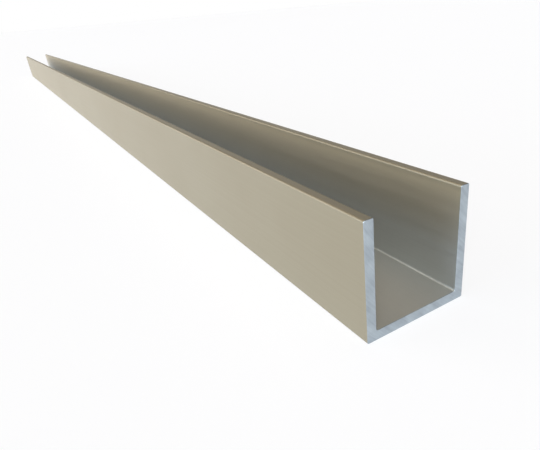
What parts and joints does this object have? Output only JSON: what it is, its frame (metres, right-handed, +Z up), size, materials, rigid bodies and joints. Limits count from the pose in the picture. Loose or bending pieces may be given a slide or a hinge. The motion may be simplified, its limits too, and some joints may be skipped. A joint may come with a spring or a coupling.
{
  "type": "aluminium channel section",
  "caption": "Square U-shaped aluminium channel stock, satin champagne anodised, with plain sawn ends and a slot open along one side that takes the edge of a board or panel.",
  "frame": {"origin": "middle of the web's underside, halfway along the bar", "axes": "+X along the bar towards the sawn end that is near in the picture, +Z up out of the open side of the slot, +Y across the web"},
  "size_m": [1, 0.035, 0.035],
  "materials": {
    "anodised_aluminium": "satin champagne anodised, bare and sawn on the two ends"
  },
  "bodies": {
    "root": {"channel": "anodised_aluminium"}
  },
  "joints": []
}
